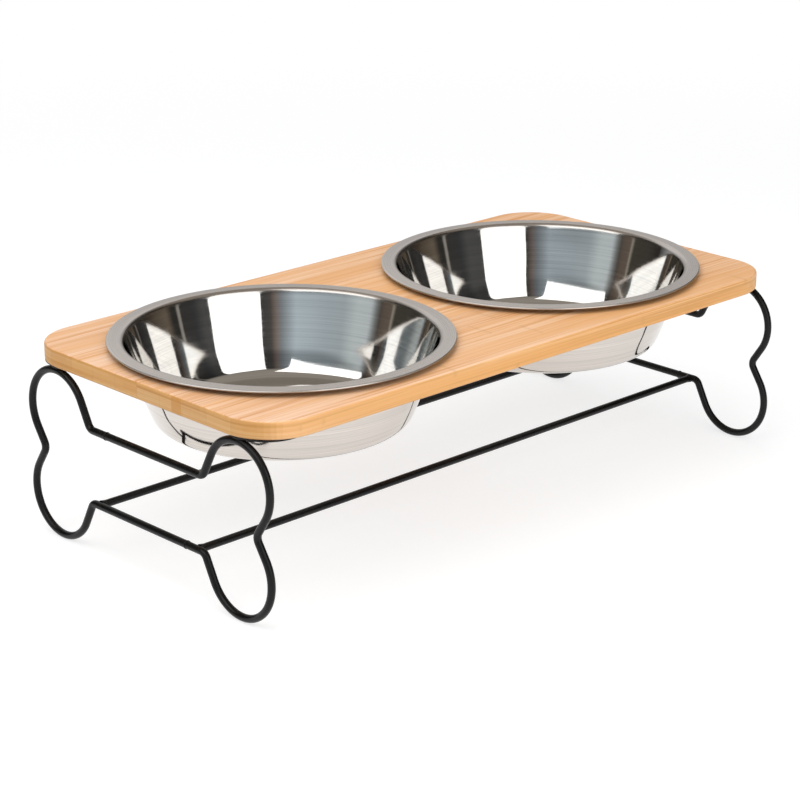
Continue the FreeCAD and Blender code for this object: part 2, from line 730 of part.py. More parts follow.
def main():
    fill(sizes, SIZES, "")
    fill(places, PLACES, "=")
    doc.recompute()
    parts = [make_board()]
    for side, sign in SIDES.items():
        parts.append(make_bowl(side, sign))
        for end in ENDS:
            parts.append(make_wire(side, sign, end))
    for end, sign in ENDS.items():
        parts.append(make_rail(end, sign))
    for side, side_sign in SIDES.items():
        for end, end_sign in ENDS.items():
            parts.append(make_plate(side, side_sign, end, end_sign))
    parts += [make_butt_welds(), make_rail_welds(), make_plate_welds(), make_screws()]
    doc.recompute()
    check(parts)
    os.makedirs("parts", exist_ok=True)
    for part in parts:
        part.Shape.exportStep(f"parts/{part.Label}.step")
        box = part.Shape.BoundBox
        spans = [(box.XMin, box.XMax), (box.YMin, box.YMax), (box.ZMin, box.ZMax)]
        reach = ", ".join(f"{axis} {low:.2f} {high:.2f}" for axis, (low, high) in zip("xyz", spans))
        print(f"{part.Label}: {len(part.Shape.Solids)} solids, {part.Shape.Volume:.1f} mm3, {reach}")


main()
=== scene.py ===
import json
import math

import bpy
from mathutils import Matrix, Vector


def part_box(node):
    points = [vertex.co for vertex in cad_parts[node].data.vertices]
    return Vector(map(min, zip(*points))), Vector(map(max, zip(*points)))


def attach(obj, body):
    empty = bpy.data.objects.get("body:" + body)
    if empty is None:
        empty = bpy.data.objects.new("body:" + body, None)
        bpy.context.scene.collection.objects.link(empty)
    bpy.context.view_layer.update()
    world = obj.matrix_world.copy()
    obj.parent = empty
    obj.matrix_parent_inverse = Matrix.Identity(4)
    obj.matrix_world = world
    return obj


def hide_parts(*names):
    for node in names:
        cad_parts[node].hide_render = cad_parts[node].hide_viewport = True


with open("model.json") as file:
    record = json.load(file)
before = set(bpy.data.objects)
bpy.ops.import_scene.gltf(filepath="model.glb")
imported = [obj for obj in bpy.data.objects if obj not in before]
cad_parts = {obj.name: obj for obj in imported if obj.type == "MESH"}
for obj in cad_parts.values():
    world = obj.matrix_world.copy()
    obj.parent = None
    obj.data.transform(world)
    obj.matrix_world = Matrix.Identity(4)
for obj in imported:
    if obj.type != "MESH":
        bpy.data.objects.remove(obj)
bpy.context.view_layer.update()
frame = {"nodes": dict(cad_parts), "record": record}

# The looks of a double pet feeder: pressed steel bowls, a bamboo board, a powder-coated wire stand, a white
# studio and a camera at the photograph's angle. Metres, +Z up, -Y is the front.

SIDES = ("left", "right")
RIGHT_ANGLE = math.pi / 2
FULL_TURN = 2 * math.pi

# Board, read from the frame
BOARD_LOW, BOARD_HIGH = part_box("bamboo_board")
BOARD_TOP = BOARD_HIGH.z
BOARD_THICKNESS = BOARD_HIGH.z - BOARD_LOW.z
STRIP_WIDTH = 0.0185

# Bowls: heights are measured from the top of the board, and bends on the outside of the sheet
STEEL = 0.0005
NECK_RADIUS = 0.0845
WALL_TAPER = 0.0144
WALL_BEND = 0.1005
WALL_BEND_RISE = 0.0174
BASE_BEND = 0.0095
FLANGE_BEND = 0.0024
FLANGE_SLOPE = math.radians(2.0)
ROLL_RADIUS = 0.0006
ROLL_ANGLE = math.radians(200.0)
# from this share of the rolled edge on, its lower part and the underside of the flange get a painted shade
PAINTED_SHADE_ROLL_SHARE = 0.6
RIM_LIFT = 0.0026

# The slight unevenness that pressing leaves: waves round the bowl, share, start and twist over the depth
RIPPLE = 0.00006
RIPPLE_WAVES = ((3, 1.0, 0.7, 0.0), (7, 0.6, 2.1, 4.0), (11, 0.4, 0.0, 5.0))

# How finely a bowl is divided
BOWL_SEGMENTS = 240
ARC_STEP = math.radians(6.0)
FLOOR_ROWS = 12
WALL_BEND_ROWS = 8
WALL_ROWS = 16
FLANGE_ROWS = 4

# Camera, fitted to the photograph
CAMERA_AIM = Vector((-0.12213, -0.11285, BOARD_TOP))
CAMERA_AZIMUTH = math.radians(-43.925)
CAMERA_ELEVATION = math.radians(19.455)
CAMERA_ROLL = math.radians(0.093)
CAMERA_DISTANCE = 1.18224
CAMERA_LENS = 106.648
CAMERA_SENSOR = 36.0


def rgb(red, green, blue):
    return (red, green, blue, 1.0)


def grey(level):
    return rgb(level, level, level)


WHITE = grey(1.0)


class Graph:
    """Short names for the nodes of one shader tree. A value is a number, a colour or a node's socket."""

    def __init__(self, tree):
        self.tree = tree

    def add(self, kind, inputs=(), **settings):
        node = self.tree.nodes.new(kind)
        for name, value in settings.items():
            setattr(node, name, value)
        for socket, value in dict(inputs).items():
            self.put(node.inputs[socket], value)
        return node

    def put(self, socket, value):
        if isinstance(value, bpy.types.NodeSocket):
            self.tree.links.new(value, socket)
        else:
            socket.default_value = value

    def math(self, operation, *values):
        return self.add("ShaderNodeMath", enumerate(values), operation=operation).outputs[0]

    def weighed(self, first, share, second):
        """The first value by its share and the second by the rest."""
        return self.math("MULTIPLY_ADD", first, share, self.math("MULTIPLY", second, 1.0 - share))

    def from_middle(self, value):
        """How far a value lies from the middle between two whole numbers: 0 there and a half at both."""
        return self.math("ABSOLUTE", self.math("SUBTRACT", self.math("FRACT", value), 0.5))

    def span(self, value, low, high, to_low=0.0, to_high=1.0):
        """A smooth step from one value to another."""
        inputs = {0: value, 1: low, 2: high, 3: to_low, 4: to_high}
        return self.add("ShaderNodeMapRange", inputs, interpolation_type="SMOOTHSTEP").outputs[0]

    def scaled(self, vector, factors):
        return self.add("ShaderNodeVectorMath", {0: vector, 1: factors}, operation="MULTIPLY").outputs[0]

    def split(self, vector):
        return self.add("ShaderNodeSeparateXYZ", {0: vector}).outputs

    def join(self, x=0.0, y=0.0, z=0.0):
        return self.add("ShaderNodeCombineXYZ", {0: x, 1: y, 2: z}).outputs[0]

    def place(self):
        return self.add("ShaderNodeTexCoord").outputs["Object"]

    def noise(self, vector, scale=1.0, detail=2.0, roughness=0.5):
        inputs = {"Vector": vector, "Scale": scale, "Detail": detail, "Roughness": roughness}
        return self.add("ShaderNodeTexNoise", inputs).outputs[0]

    def chance(self, first, second):
        """A number from 0 to 1 for each pair of values."""
        key = self.join(first, second)
        return self.add("ShaderNodeTexWhiteNoise", {"Vector": key}, noise_dimensions="2D").outputs[0]

    def mix(self, factor, first, second, blend="MIX"):
        """A mix of two colours. With MULTIPLY the second is a tint."""
        inputs = {0: factor, 6: first, 7: second}
        return self.add("ShaderNodeMix", inputs, data_type="RGBA", blend_type=blend).outputs[2]

    def mix_vectors(self, factor, first, second):
        return self.add("ShaderNodeMix", {0: factor, 4: first, 5: second}, data_type="VECTOR").outputs[1]

    def mix_numbers(self, factor, first, second):
        return self.add("ShaderNodeMix", {0: factor, 2: first, 3: second}, data_type="FLOAT").outputs[0]

    def ramp(self, value, stops):
        """Colours, or grey levels, at places from 0 to 1."""
        node = self.add("ShaderNodeValToRGB", {0: value})
        elements = node.color_ramp.elements
        while len(elements) < len(stops):
            elements.new(1.0)
        for element, (place, colour) in zip(elements, stops):
            element.position = place
            element.color = colour if isinstance(colour, tuple) else grey(colour)
        return node.outputs[0]

    def bump(self, height, strength, distance):
        inputs = {"Height": height, "Strength": strength, "Distance": distance}
        return self.add("ShaderNodeBump", inputs).outputs[0]


def new_material(name):
    material = bpy.data.materials.new(name)
    material.use_nodes = True
    return material, Graph(material.node_tree), material.node_tree.nodes["Principled BSDF"].inputs


def bamboo_strips(graph, y, z):
    """The strips across the board, counted and staggered from ply to ply, and a chance number for each."""
    plies = 3
    stagger_share = 0.37
    # the margin leaves the top face in the top ply
    margin = 0.01
    plies_per_metre = plies / BOARD_THICKNESS - margin
    height = graph.math("SUBTRACT", z, BOARD_LOW.z)
    ply = graph.math("FLOOR", graph.math("MULTIPLY", height, plies_per_metre))
    stagger = graph.math("MULTIPLY", ply, stagger_share)
    strip = graph.math("ADD", graph.math("DIVIDE", y, STRIP_WIDTH), stagger)
    return strip, graph.chance(graph.math("FLOOR", strip), ply)


def bamboo_grain(graph, x, y, z, chance, on_edge):
    """The way of the fibres: along X on top, and on the edges along the outline, round its corners too."""
    strip_shift = 7.0
    side_shift = 3.0
    edge_stretch = 1.6
    along_top = graph.join(graph.math("ADD", x, graph.math("MULTIPLY", chance, strip_shift)), y, z)
    inward = graph.math("SUBTRACT", BOARD_HIGH.y, graph.math("ABSOLUTE", y))
    outline = graph.math("MULTIPLY_ADD", graph.math("SIGN", x), inward, x)
    side = graph.math("MULTIPLY", graph.math("SIGN", y), side_shift)
    height = graph.math("MULTIPLY_ADD", z, edge_stretch, side)
    round_edge = graph.join(graph.math("ADD", outline, side), 0.0, height)
    return graph.mix_vectors(on_edge, along_top, round_edge)


def bamboo_fibres(graph, grain):
    """Broad, medium and fine streaks, and pores: noise drawn out along the grain, in cycles per metre."""

    def drawn_out(along, across, detail, roughness=0.5):
        return graph.noise(graph.scaled(grain, (along, across, across)), detail=detail, roughness=roughness)

    broad = drawn_out(2.4, 70.0, detail=3.0)
    medium = drawn_out(5.0, 300.0, detail=4.0, roughness=0.6)
    fine = drawn_out(9.0, 1100.0, detail=3.0, roughness=0.65)
    pores = drawn_out(70.0, 2300.0, detail=1.0)
    return broad, medium, fine, pores


def bamboo_knuckles(graph, colour, x, chance, medium):
    """Thin brown lines across each strip, where the cane had its joints."""
    spacing = 0.24
    width = 0.0022
    strength = 0.17
    waviness = 0.004
    strip_shift = 3.1
    brown = rgb(0.50, 0.24, 0.08)
    wavy = graph.math("ADD", x, graph.math("MULTIPLY", medium, waviness))
    along = graph.math("ADD", wavy, graph.math("MULTIPLY", chance, strip_shift))
    away = graph.math("MULTIPLY", graph.from_middle(graph.math("DIVIDE", along, spacing)), spacing)
    return graph.mix(graph.span(away, 0.0, width, strength, 0.0), colour, brown)


def bamboo_ends(graph, colour, x, y, at_end):
    """The ends are darker and yellower than the sides, partly their own tone and partly a painted shade;
    they show the strips as blocks with faint joints, and one block at the left end is darker.
    """
    end_grain_and_shade_tint = rgb(0.82, 0.785, 0.63)
    block_tints = [(0.0, rgb(0.90, 0.86, 0.78)), (0.5, WHITE), (1.0, rgb(1.0, 1.0, 0.95))]
    joint_brown = rgb(0.40, 0.20, 0.07)
    joint_strength = 0.18
    dark_brown = rgb(0.60, 0.26, 0.05)
    dark_strength = 0.62
    dark_y = -0.032
    dark_half_width = 0.0045
    dark_fade = 0.001

    strip = graph.math("DIVIDE", y, STRIP_WIDTH)
    block = graph.ramp(graph.chance(graph.math("FLOOR", strip), graph.math("SIGN", x)), block_tints)
    # partly painted shade: the ends are made darker and yellower, besides their own tone
    colour = graph.mix(at_end, colour, end_grain_and_shade_tint, "MULTIPLY")
    colour = graph.mix(at_end, colour, block, "MULTIPLY")
    joint = graph.span(graph.from_middle(strip), 0.475, 0.5, 0.0, joint_strength)
    colour = graph.mix(graph.math("MULTIPLY", joint, at_end), colour, joint_brown)
    beside = graph.math("ABSOLUTE", graph.math("SUBTRACT", y, dark_y))
    dark = graph.span(beside, dark_half_width - dark_fade, dark_half_width, dark_strength, 0.0)
    left_end = graph.math("MULTIPLY", graph.math("LESS_THAN", x, 0.0), at_end)
    return graph.mix(graph.math("MULTIPLY", dark, left_end), colour, dark_brown)


def bamboo():
    """Laminated strips along X in three plies, with fibres, pores, knuckles and glue lines."""
    light = rgb(0.98, 0.645, 0.41)
    honey = rgb(0.93, 0.545, 0.29)
    amber = rgb(0.74, 0.325, 0.10)
    broad_tan = rgb(0.88, 0.45, 0.17)
    pore_brown = rgb(0.45, 0.22, 0.09)
    glue_brown = rgb(0.50, 0.27, 0.11)
    fibre_brown = rgb(0.70, 0.36, 0.12)
    left_tint = rgb(1.0, 1.05, 1.20)
    strip_tint = rgb(0.94, 0.90, 0.86)
    edge_tint = rgb(0.97, 0.94, 0.77)
    medium_share = 0.55
    broad_strength = 0.75
    pore_strength = 0.22
    pore_depth = 0.8
    glue_strength = 0.14
    fibre_strength = 0.5

    material, graph, shader = new_material("bamboo_lacquered")
    x, y, z = graph.split(graph.place())
    slant_x, _, slant_z = graph.split(graph.add("ShaderNodeNewGeometry").outputs["True Normal"])
    level = graph.math("ABSOLUTE", slant_z)
    on_edge = graph.math("LESS_THAN", level, 0.6)
    near_edge = graph.span(level, 0.35, 0.95, 1.0, 0.0)
    at_end = graph.span(graph.math("ABSOLUTE", slant_x), 0.45, 0.85)
    strip, chance = bamboo_strips(graph, y, z)
    grain = bamboo_grain(graph, x, y, z, chance, on_edge)
    broad, medium, fine, pores = bamboo_fibres(graph, grain)
    streak = graph.weighed(medium, medium_share, fine)
    pore = graph.span(pores, 0.66, 0.76, 0.0, pore_strength)

    colour = graph.ramp(streak, [(0.38, amber), (0.50, honey), (0.60, light)])
    colour = graph.mix(graph.span(broad, 0.42, 0.68, 0.0, broad_strength), colour, broad_tan)
    colour = graph.mix(graph.span(x, BOARD_LOW.x, 0.0, 1.0, 0.0), colour, left_tint, "MULTIPLY")
    colour = graph.mix(1.0, colour, graph.ramp(chance, [(0.0, strip_tint), (1.0, WHITE)]), "MULTIPLY")
    colour = graph.mix(pore, colour, pore_brown)
    colour = bamboo_knuckles(graph, colour, x, chance, medium)
    glue = graph.span(graph.from_middle(strip), 0.485, 0.5, 0.0, glue_strength)
    glue = graph.math("MULTIPLY", glue, graph.math("SUBTRACT", 1.0, at_end))
    colour = graph.mix(glue, colour, glue_brown)
    colour = graph.mix(near_edge, colour, edge_tint, "MULTIPLY")
    dark_fibre = graph.span(medium, 0.38, 0.50, fibre_strength, 0.0)
    colour = graph.mix(graph.math("MULTIPLY", dark_fibre, on_edge), colour, fibre_brown)
    colour = bamboo_ends(graph, colour, x, y, at_end)

    relief = graph.math("SUBTRACT", streak, graph.math("MULTIPLY", pore, pore_depth))
    graph.put(shader["Base Color"], colour)
    graph.put(shader["Roughness"], graph.span(streak, 0.3, 0.7, 0.52, 0.42))
    graph.put(shader["Normal"], graph.bump(relief, strength=0.12, distance=0.0004))
    shader["Specular IOR Level"].default_value = 0.35
    return material


def black_coat():
    """Satin black powder coat with a fine orange peel."""
    hollow = rgb(0.0025, 0.0025, 0.0025)
    crest = rgb(0.006, 0.0058, 0.0056)
    material, graph, shader = new_material("black_powder_coat")
    place = graph.place()
    peel = graph.noise(place, scale=750.0, detail=2.0)
    haze = graph.noise(place, scale=45.0, detail=3.0)
    graph.put(shader["Base Color"], graph.ramp(peel, [(0.35, hollow), (0.68, crest)]))
    graph.put(shader["Roughness"], graph.span(haze, 0.3, 0.7, 0.27, 0.36))
    graph.put(shader["Normal"], graph.bump(peel, strength=0.16, distance=0.0003))
    shader["Specular IOR Level"].default_value = 0.25
    return material


def zinc():
    """Bright zinc plate with a faint spangle."""
    dull = rgb(0.42, 0.43, 0.45)
    bright = rgb(0.60, 0.60, 0.60)
    material, graph, shader = new_material("bright_zinc")
    spangle = graph.noise(graph.place(), scale=1500.0, detail=2.0)
    graph.put(shader["Base Color"], graph.ramp(spangle, [(0.3, dull), (0.7, bright)]))
    graph.put(shader["Roughness"], graph.span(spangle, 0.3, 0.7, 0.22, 0.38))
    shader["Metallic"].default_value = 1.0
    return material


def steel(flange_start, roll_start, painted_shade_start, flange_end):
    """Stainless steel with fine rings: polished inside and outside, satin on the flange, and a painted
    shade under the flange and on the lower part of the rolled edge.

    The places are shares of the way along the sheet, from the centre inside to the centre outside."""
    dull = rgb(0.61, 0.60, 0.58)
    bright = rgb(0.79, 0.77, 0.74)
    matt = rgb(0.70, 0.685, 0.66)
    matt_share = 0.75
    flange_tint = rgb(0.77, 0.715, 0.685)
    # the colour of the painted shade under the flange and the rolled edge
    painted_shade_grey = rgb(0.10, 0.09, 0.08)
    painted_shade_strength = 0.8
    outside_tint = rgb(0.96, 0.915, 0.88)
    soft = 0.012
    sharp = 0.001
    # cycles round the bowl and along the sheet
    fine_rings = (5.0, 900.0, 1.0)
    wide_rings = (2.0, 120.0, 1.0)
    fine_share = 0.6
    smudge_share = 0.5

    material, graph, shader = new_material("ringed_stainless")
    rings_map = graph.add("ShaderNodeUVMap", uv_map="rings").outputs[0]
    _, run, _ = graph.split(rings_map)
    rings = graph.noise(graph.scaled(rings_map, fine_rings), detail=3.0)
    wide = graph.noise(graph.scaled(rings_map, wide_rings), detail=2.0)
    smudge = graph.noise(graph.place(), scale=26.0, detail=3.0)

    brush = graph.weighed(rings, fine_share, wide)
    colour = graph.ramp(brush, [(0.34, dull), (0.66, bright)])
    flange_stops = [(flange_start - soft, 0.0), (flange_start, 1.0)]
    flat = graph.ramp(run, flange_stops + [(roll_start - sharp, 1.0), (roll_start + sharp, 0.0)])
    flange = graph.mix(1.0, graph.mix(matt_share, colour, matt), flange_tint, "MULTIPLY")
    colour = graph.mix(flat, colour, flange)
    # painted shade: from this share of the rolled edge on, its lower part and the underside of the flange
    # are darkened almost to black, as if in shadow
    painted_shade_stops = [(painted_shade_start, 0.0), (painted_shade_start + sharp, painted_shade_strength)]
    under = graph.ramp(run, painted_shade_stops + [(flange_end, painted_shade_strength), (flange_end + soft / 2, 0.0)])
    colour = graph.mix(under, colour, painted_shade_grey)
    outside = graph.span(run, flange_end, flange_end + soft)
    colour = graph.mix(outside, colour, outside_tint, "MULTIPLY")

    satin = graph.ramp(run, flange_stops + [(flange_end, 1.0), (flange_end + soft, 0.0)])
    handled = graph.math("ADD", wide, graph.math("MULTIPLY", smudge, smudge_share))
    polished = graph.span(handled, 0.45, 1.0, 0.03, 0.07)
    brushed = graph.span(rings, 0.3, 0.7, 0.25, 0.36)
    tangent = graph.add("ShaderNodeTangent", direction_type="RADIAL", axis="Z").outputs[0]
    graph.put(shader["Base Color"], colour)
    graph.put(shader["Roughness"], graph.mix_numbers(satin, polished, brushed))
    graph.put(shader["Tangent"], tangent)
    graph.put(shader["Normal"], graph.bump(rings, strength=0.05, distance=0.00006))
    shader["Metallic"].default_value = 1.0
    shader["Anisotropic"].default_value = 0.55
    shader["Anisotropic Rotation"].default_value = 0.25
    return material


def add_mesh(name, verts, faces):
    mesh = bpy.data.meshes.new(name)
    mesh.from_pydata(verts, [], faces)
    piece = bpy.data.objects.new(name, mesh)
    bpy.context.collection.objects.link(piece)
    return piece


def turned(heading):
    return Vector((math.cos(heading), math.sin(heading)))


def arc(centre, radius, start, end, rows=2):
    """Points of an arc, each with the heading of a path along it."""
    steps = max(rows, math.ceil(abs(end - start) / ARC_STEP))
    ahead = RIGHT_ANGLE if end > start else -RIGHT_ANGLE
    angles = [start + (end - start) * step / steps for step in range(steps + 1)]
    return [(centre + turned(angle) * radius, angle + ahead) for angle in angles]


def straight(start, end, rows):
    """Points of a line without its end, each with the heading of the line."""
    heading = math.atan2(end.y - start.y, end.x - start.x)
    return [(start.lerp(end, row / rows), heading) for row in range(rows)]


def bowl_path(rim_radius, depth):
    """The middle of the sheet from the centre of the base to the end of the rolled edge.

    Gives (r, z) and heading for each point, and the rows where the flange and the roll start."""
    half = STEEL / 2
    taper = math.atan2(WALL_TAPER, depth)
    wall = RIGHT_ANGLE - taper
    # the wide bend touches the wall from inside, and the bend of the base touches the wide bend
    bend_top_radius = NECK_RADIUS - WALL_TAPER + WALL_BEND_RISE * math.tan(taper)
    bend_top = Vector((bend_top_radius, WALL_BEND_RISE - depth))
    wide_centre = bend_top + turned(wall + RIGHT_ANGLE) * WALL_BEND
    join = math.asin((BASE_BEND - depth - wide_centre.y) / (WALL_BEND - BASE_BEND))
    base_centre = wide_centre + turned(join) * (WALL_BEND - BASE_BEND)
    roll_radius = ROLL_RADIUS - half
    roll_centre = Vector((rim_radius - ROLL_RADIUS, RIM_LIFT + ROLL_RADIUS))
    over = RIGHT_ANGLE - FLANGE_SLOPE

    # the bend under the flange touches the wall from outside and the flange from below
    neck_radius = FLANGE_BEND + half
    on_wall = Vector((NECK_RADIUS, 0.0)) + turned(wall - RIGHT_ANGLE) * FLANGE_BEND
    on_flange = roll_centre + turned(over) * (roll_radius - neck_radius)
    gap = on_flange - on_wall
    rise = gap.y * math.cos(FLANGE_SLOPE) + gap.x * math.sin(FLANGE_SLOPE)
    neck_centre = on_wall + turned(wall) * (rise / math.sin(wall + FLANGE_SLOPE))

    base_bend = arc(base_centre, BASE_BEND - half, -RIGHT_ANGLE, join)
    wall_bend = arc(wide_centre, WALL_BEND - half, join, wall - RIGHT_ANGLE, WALL_BEND_ROWS)
    neck_bend = arc(neck_centre, neck_radius, wall + RIGHT_ANGLE, over)
    roll = arc(roll_centre, roll_radius, over, over - ROLL_ANGLE)
    floor = straight(Vector((0.0, half - depth)), base_bend[0][0], FLOOR_ROWS)
    side = straight(wall_bend[-1][0], neck_bend[0][0], WALL_ROWS)
    flange = straight(neck_bend[-1][0], roll[0][0], FLANGE_ROWS)
    path = floor[1:] + base_bend + wall_bend[1:] + side[1:] + neck_bend + flange[1:] + roll
    roll_row = len(path) - len(roll)
    flange_row = roll_row - len(flange) - len(neck_bend) // 2
    return path, flange_row, roll_row


def run_shares(outline):
    """How far along the outline each point lies, from 0 to 1."""
    lengths = [0.0]
    for before, after in zip(outline, outline[1:]):
        lengths.append(lengths[-1] + (after - before).length)
    return [length / lengths[-1] for length in lengths]


def ripple(angle, depth_share):
    """How far the wall is out of round: nothing on the rim and on the base."""
    fade = math.sin(math.pi * depth_share) ** 2
    waves = 0.0
    for count, share, start, twist in RIPPLE_WAVES:
        waves += share * math.sin(count * angle + start + twist * depth_share)
    return RIPPLE * fade * waves


def spin(name, outline, shares, depth):
    """The outline turned about Z, with the turn and the share of the outline as its UV map."""
    verts = []
    for point in outline:
        depth_share = min(1.0, max(0.0, -point.y / depth))
        for step in range(BOWL_SEGMENTS):
            angle = FULL_TURN * step / BOWL_SEGMENTS
            radius = point.x + ripple(angle, depth_share)
            verts.append((radius * math.cos(angle), radius * math.sin(angle), point.y))
    first_pole = len(verts)
    last_pole = first_pole + 1
    verts.append((0.0, 0.0, outline[0].y))
    verts.append((0.0, 0.0, outline[-1].y))

    faces = []
    uvs = []
    last_row = len(outline) - 1
    for step in range(BOWL_SEGMENTS):
        after = (step + 1) % BOWL_SEGMENTS
        u, next_u = step / BOWL_SEGMENTS, (step + 1) / BOWL_SEGMENTS
        faces.append((first_pole, step, after))
        uvs += [(u, 0.0), (u, shares[0]), (next_u, shares[0])]
        for row in range(last_row):
            here, there = row * BOWL_SEGMENTS, (row + 1) * BOWL_SEGMENTS
            v, next_v = shares[row], shares[row + 1]
            faces.append((here + step, there + step, there + after, here + after))
            uvs += [(u, v), (u, next_v), (next_u, next_v), (next_u, v)]
        here = last_row * BOWL_SEGMENTS
        faces.append((here + step, last_pole, here + after))
        uvs += [(u, shares[-1]), (u, 1.0), (next_u, shares[-1])]

    piece = add_mesh(name, verts, faces)
    layer = piece.data.uv_layers.new(name="rings")
    for corner, uv in zip(layer.data, uvs):
        corner.uv = uv
    for polygon in piece.data.polygons:
        polygon.use_smooth = True
    return piece


def make_bowl(side):
    """A pressed bowl, and where its finishes and its painted shade change along the sheet."""
    node = f"{side}_bowl"
    low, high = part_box(node)
    rim_radius = (high.y - low.y) / 2
    depth = BOARD_TOP - low.z
    path, flange_row, roll_row = bowl_path(rim_radius, depth)
    offsets = [turned(heading + RIGHT_ANGLE) * (STEEL / 2) for _, heading in path]
    inside = [point + offset for (point, _), offset in zip(path, offsets)]
    outside = [point - offset for (point, _), offset in zip(path, offsets)]
    outline = inside + outside[::-1]
    shares = run_shares(outline)

    bowl = spin(f"{side}_pressed_bowl", outline, shares, depth)
    bowl.location = ((low.x + high.x) / 2, 0.0, BOARD_TOP)
    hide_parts(node)
    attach(bowl, node)

    roll_rows = len(path) - roll_row
    changes = {
        "flange_start": shares[flange_row],
        "roll_start": shares[roll_row],
        "painted_shade_start": shares[roll_row + round(roll_rows * PAINTED_SHADE_ROLL_SHARE)],
        "flange_end": shares[-1 - flange_row],
    }
    return bowl, changes


def dress():
    """Gives every node and piece its finish."""
    finishes = {"bamboo": bamboo(), "black_coat": black_coat(), "screw_steel": zinc()}
    for subpart in frame["record"]["subparts"]:
        finish = finishes.get(subpart["material_slot"])
        if finish:
            frame["nodes"][subpart["node"]].material_slots[0].material = finish
    bowls = [make_bowl(side) for side in SIDES]
    _, changes = bowls[0]
    finish = steel(**changes)
    for bowl, _ in bowls:
        bowl.data.materials.append(finish)


def bare_graph(owner):
    """An empty shader tree for a world or a material."""
    owner.use_nodes = True
    owner.node_tree.nodes.clear()
    return Graph(owner.node_tree)


def seen_ray(graph):
    """One for rays that reach the eye straight, by a mirror or through glass."""
    rays = graph.add("ShaderNodeLightPath").outputs
    straight_or_mirror = graph.math("MAXIMUM", rays["Is Camera Ray"], rays["Is Glossy Ray"])
    return graph.math("MAXIMUM", straight_or_mirror, rays["Is Transmission Ray"])


def make_world():
    """A white background that lights the object less than it shows."""
    ambient = 0.42
    ambient_tint = rgb(0.97, 0.985, 1.0)
    world = bpy.data.worlds.new("studio")
    bpy.context.scene.world = world
    graph = bare_graph(world)
    light = graph.add("ShaderNodeBackground", {0: ambient_tint, 1: ambient}).outputs[0]
    white = graph.add("ShaderNodeBackground", {0: WHITE, 1: 1.0}).outputs[0]
    either = graph.add("ShaderNodeMixShader", {0: seen_ray(graph), 1: light, 2: white})
    graph.add("ShaderNodeOutputWorld", {0: either.outputs[0]})


def make_floor():
    """A pale floor that keeps the object's shadow and turns white further away."""
    half = 15.0
    drop = 0.00002
    shadow_end, white_start = 0.45, 1.3
    bounce = grey(0.8)
    shadowed = grey(0.42)
    glow_level = 0.69
    corners = [(-half, -half, -drop), (half, -half, -drop), (half, half, -drop), (-half, half, -drop)]
    floor = add_mesh("studio_floor", corners, [(0, 1, 2, 3)])
    material = bpy.data.materials.new("white_floor")
    graph = bare_graph(material)
    lit = graph.add("ShaderNodeBsdfDiffuse", {"Color": bounce}).outputs[0]
    pale = graph.add("ShaderNodeBsdfDiffuse", {"Color": shadowed}).outputs[0]
    glow = graph.add("ShaderNodeEmission", {0: WHITE, 1: glow_level}).outputs[0]
    white = graph.add("ShaderNodeEmission", {0: WHITE, 1: 1.0}).outputs[0]
    near = graph.add("ShaderNodeAddShader", {0: pale, 1: glow}).outputs[0]
    x, y, _ = graph.split(graph.place())
    away = graph.math("SQRT", graph.math("MULTIPLY_ADD", x, x, graph.math("MULTIPLY", y, y)))
    far = graph.span(away, shadow_end, white_start)
    seen = graph.add("ShaderNodeMixShader", {0: far, 1: near, 2: white}).outputs[0]
    either = graph.add("ShaderNodeMixShader", {0: seen_ray(graph), 1: lit, 2: seen})
    graph.add("ShaderNodeOutputMaterial", {0: either.outputs[0]})
    floor.data.materials.append(material)


def studio_sides(graph, x, y):
    """The sides of the studio, in shares of a turn anticlockwise from the back right."""
    start = math.radians(60.0)
    angle = graph.math("SUBTRACT", graph.math("ARCTAN2", y, x), start)
    around = graph.math("FRACT", graph.math("MULTIPLY_ADD", angle, 1.0 / FULL_TURN, 1.0))
    white_back = [(0.000, WHITE), (0.085, grey(0.95))]
    rear_flag = [
        (0.125, rgb(0.05, 0.045, 0.04)),
        (0.209, rgb(0.06, 0.055, 0.045)),
        (0.214, rgb(0.36, 0.33, 0.27)),
        (0.219, rgb(0.14, 0.11, 0.09)),
        (0.236, rgb(0.13, 0.10, 0.08)),
        (0.246, rgb(0.09, 0.08, 0.07)),
    ]
    blue_grey_wall = [
        (0.256, rgb(0.20, 0.21, 0.21)),
        (0.270, rgb(0.56, 0.62, 0.65)),
        (0.300, rgb(0.57, 0.64, 0.66)),
        (0.330, rgb(0.42, 0.48, 0.52)),
        (0.365, rgb(0.43, 0.50, 0.55)),
        (0.435, rgb(0.54, 0.64, 0.71)),
        (0.465, rgb(0.27, 0.30, 0.33)),
        (0.478, rgb(0.24, 0.19, 0.165)),
    ]
    front_flag = [
        (0.489, rgb(0.09, 0.085, 0.08)),
        (0.510, grey(0.065)),
        (0.640, grey(0.085)),
        (0.662, rgb(0.045, 0.045, 0.047)),
    ]
    right_flag = [
        (0.696, rgb(0.045, 0.043, 0.04)),
        (0.701, rgb(0.48, 0.45, 0.41)),
        (0.706, rgb(0.035, 0.033, 0.03)),
        (0.720, rgb(0.035, 0.033, 0.03)),
        (0.736, rgb(0.15, 0.12, 0.09)),
        (0.786, rgb(0.07, 0.055, 0.04)),
        (0.885, grey(0.06)),
    ]
    white_again = [(0.930, grey(0.95))]
    other_sides = rear_flag + blue_grey_wall + front_flag + right_flag
    return graph.ramp(around, white_back + other_sides + white_again)


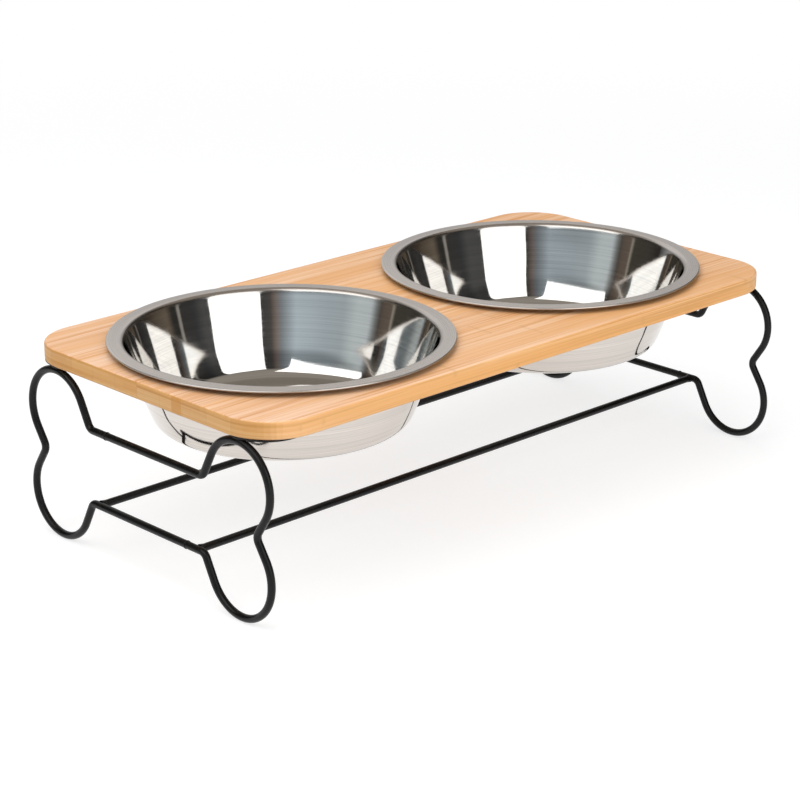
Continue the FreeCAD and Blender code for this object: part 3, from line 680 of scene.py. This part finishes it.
def make_surround():
    """A dome that only mirrors see: white behind, a blue-grey wall, dark flags and a dim ceiling."""
    radius = 2.6
    turns, rises = 96, 24
    ceiling = rgb(0.33, 0.30, 0.265)
    behind = math.radians(49.0)
    back_low_level = 0.42
    others_high_level = 0.55

    verts = []
    for rise in range(rises + 1):
        height = RIGHT_ANGLE * rise / rises
        flat = radius * math.cos(height)
        for turn in range(turns):
            angle = FULL_TURN * turn / turns
            verts.append((flat * math.cos(angle), flat * math.sin(angle), radius * math.sin(height)))
    faces = []
    for rise in range(rises):
        here, above = rise * turns, (rise + 1) * turns
        for turn in range(turns):
            after = (turn + 1) % turns
            faces.append((here + turn, here + after, above + after, above + turn))
    surround = add_mesh("studio_surround", verts, faces)
    surround.visible_camera = False
    surround.visible_diffuse = False
    surround.visible_shadow = False
    surround.visible_transmission = False

    material = bpy.data.materials.new("studio_sides")
    graph = bare_graph(material)
    x, y, z = graph.split(graph.place())
    sides = studio_sides(graph, x, y)
    rise = graph.math("DIVIDE", z, radius)
    ahead = graph.math("MULTIPLY_ADD", x, math.cos(behind), graph.math("MULTIPLY", y, math.sin(behind)))
    at_back = graph.span(graph.math("DIVIDE", ahead, radius), 0.30, 0.65)
    # the back is dim low down, and the other sides are dim high up
    back = graph.mix(1.0, sides, graph.span(rise, 0.12, 0.46, back_low_level, 1.0), "MULTIPLY")
    others = graph.mix(1.0, sides, graph.span(rise, 0.33, 0.43, 1.0, others_high_level), "MULTIPLY")
    glow = graph.mix(graph.span(rise, 0.62, 0.80), graph.mix(at_back, others, back), ceiling)
    shine = graph.add("ShaderNodeEmission", {0: glow, 1: 1.0})
    graph.add("ShaderNodeOutputMaterial", {0: shine.outputs[0]})
    surround.data.materials.append(material)


def add_lamp(name, place, aim, width, height, level):
    """A softbox: a rectangle that shines evenly at a level where 1 looks white."""
    light = bpy.data.lights.new(name, "AREA")
    light.shape = "RECTANGLE"
    light.size = width
    light.size_y = height
    light.energy = level * math.pi * width * height
    lamp = bpy.data.objects.new(name, light)
    bpy.context.collection.objects.link(lamp)
    lamp.location = place
    lamp.rotation_euler = (Vector(aim) - Vector(place)).to_track_quat("-Z", "Y").to_euler()
    lamp.visible_camera = False
    return lamp


def make_lamps():
    """Two softboxes that the steel mirrors, and two fills that it doesn't."""
    front = (-0.145, -0.899, 0.52)
    front_aim = (-0.10, 0.0, 0.52)
    front_low_aim = (-0.10, 0.0, 0.1)
    left = (-0.982, 0.059, 1.183)
    left_aim = (-0.191, 0.271, 0.609)
    top = (-0.12, 0.2, 1.5)
    top_aim = (0.0, 0.0, BOARD_TOP)
    add_lamp("front_box", front, front_aim, width=0.70, height=0.92, level=1.8)
    add_lamp("left_box", left, left_aim, width=1.67, height=1.10, level=1.65)
    front_fill = add_lamp("front_fill", front, front_low_aim, width=0.73, height=1.06, level=0.35)
    top_fill = add_lamp("top_fill", top, top_aim, width=1.2, height=1.2, level=1.24)
    front_fill.visible_glossy = False
    top_fill.visible_glossy = False


def make_camera():
    data = bpy.data.cameras.new("camera")
    data.sensor_width = CAMERA_SENSOR
    data.lens = CAMERA_LENS
    camera = bpy.data.objects.new("camera", data)
    bpy.context.collection.objects.link(camera)
    flat = math.cos(CAMERA_ELEVATION)
    height = math.sin(CAMERA_ELEVATION)
    back = Vector((math.sin(CAMERA_AZIMUTH) * flat, -math.cos(CAMERA_AZIMUTH) * flat, height))
    turn = back.to_track_quat("Z", "Y").to_matrix().to_4x4() @ Matrix.Rotation(CAMERA_ROLL, 4, "Z")
    camera.matrix_world = Matrix.Translation(CAMERA_AIM + back * CAMERA_DISTANCE) @ turn
    bpy.context.scene.camera = camera


dress()
make_world()
make_floor()
make_surround()
make_lamps()
make_camera()
bpy.context.scene.view_settings.view_transform = "Standard"
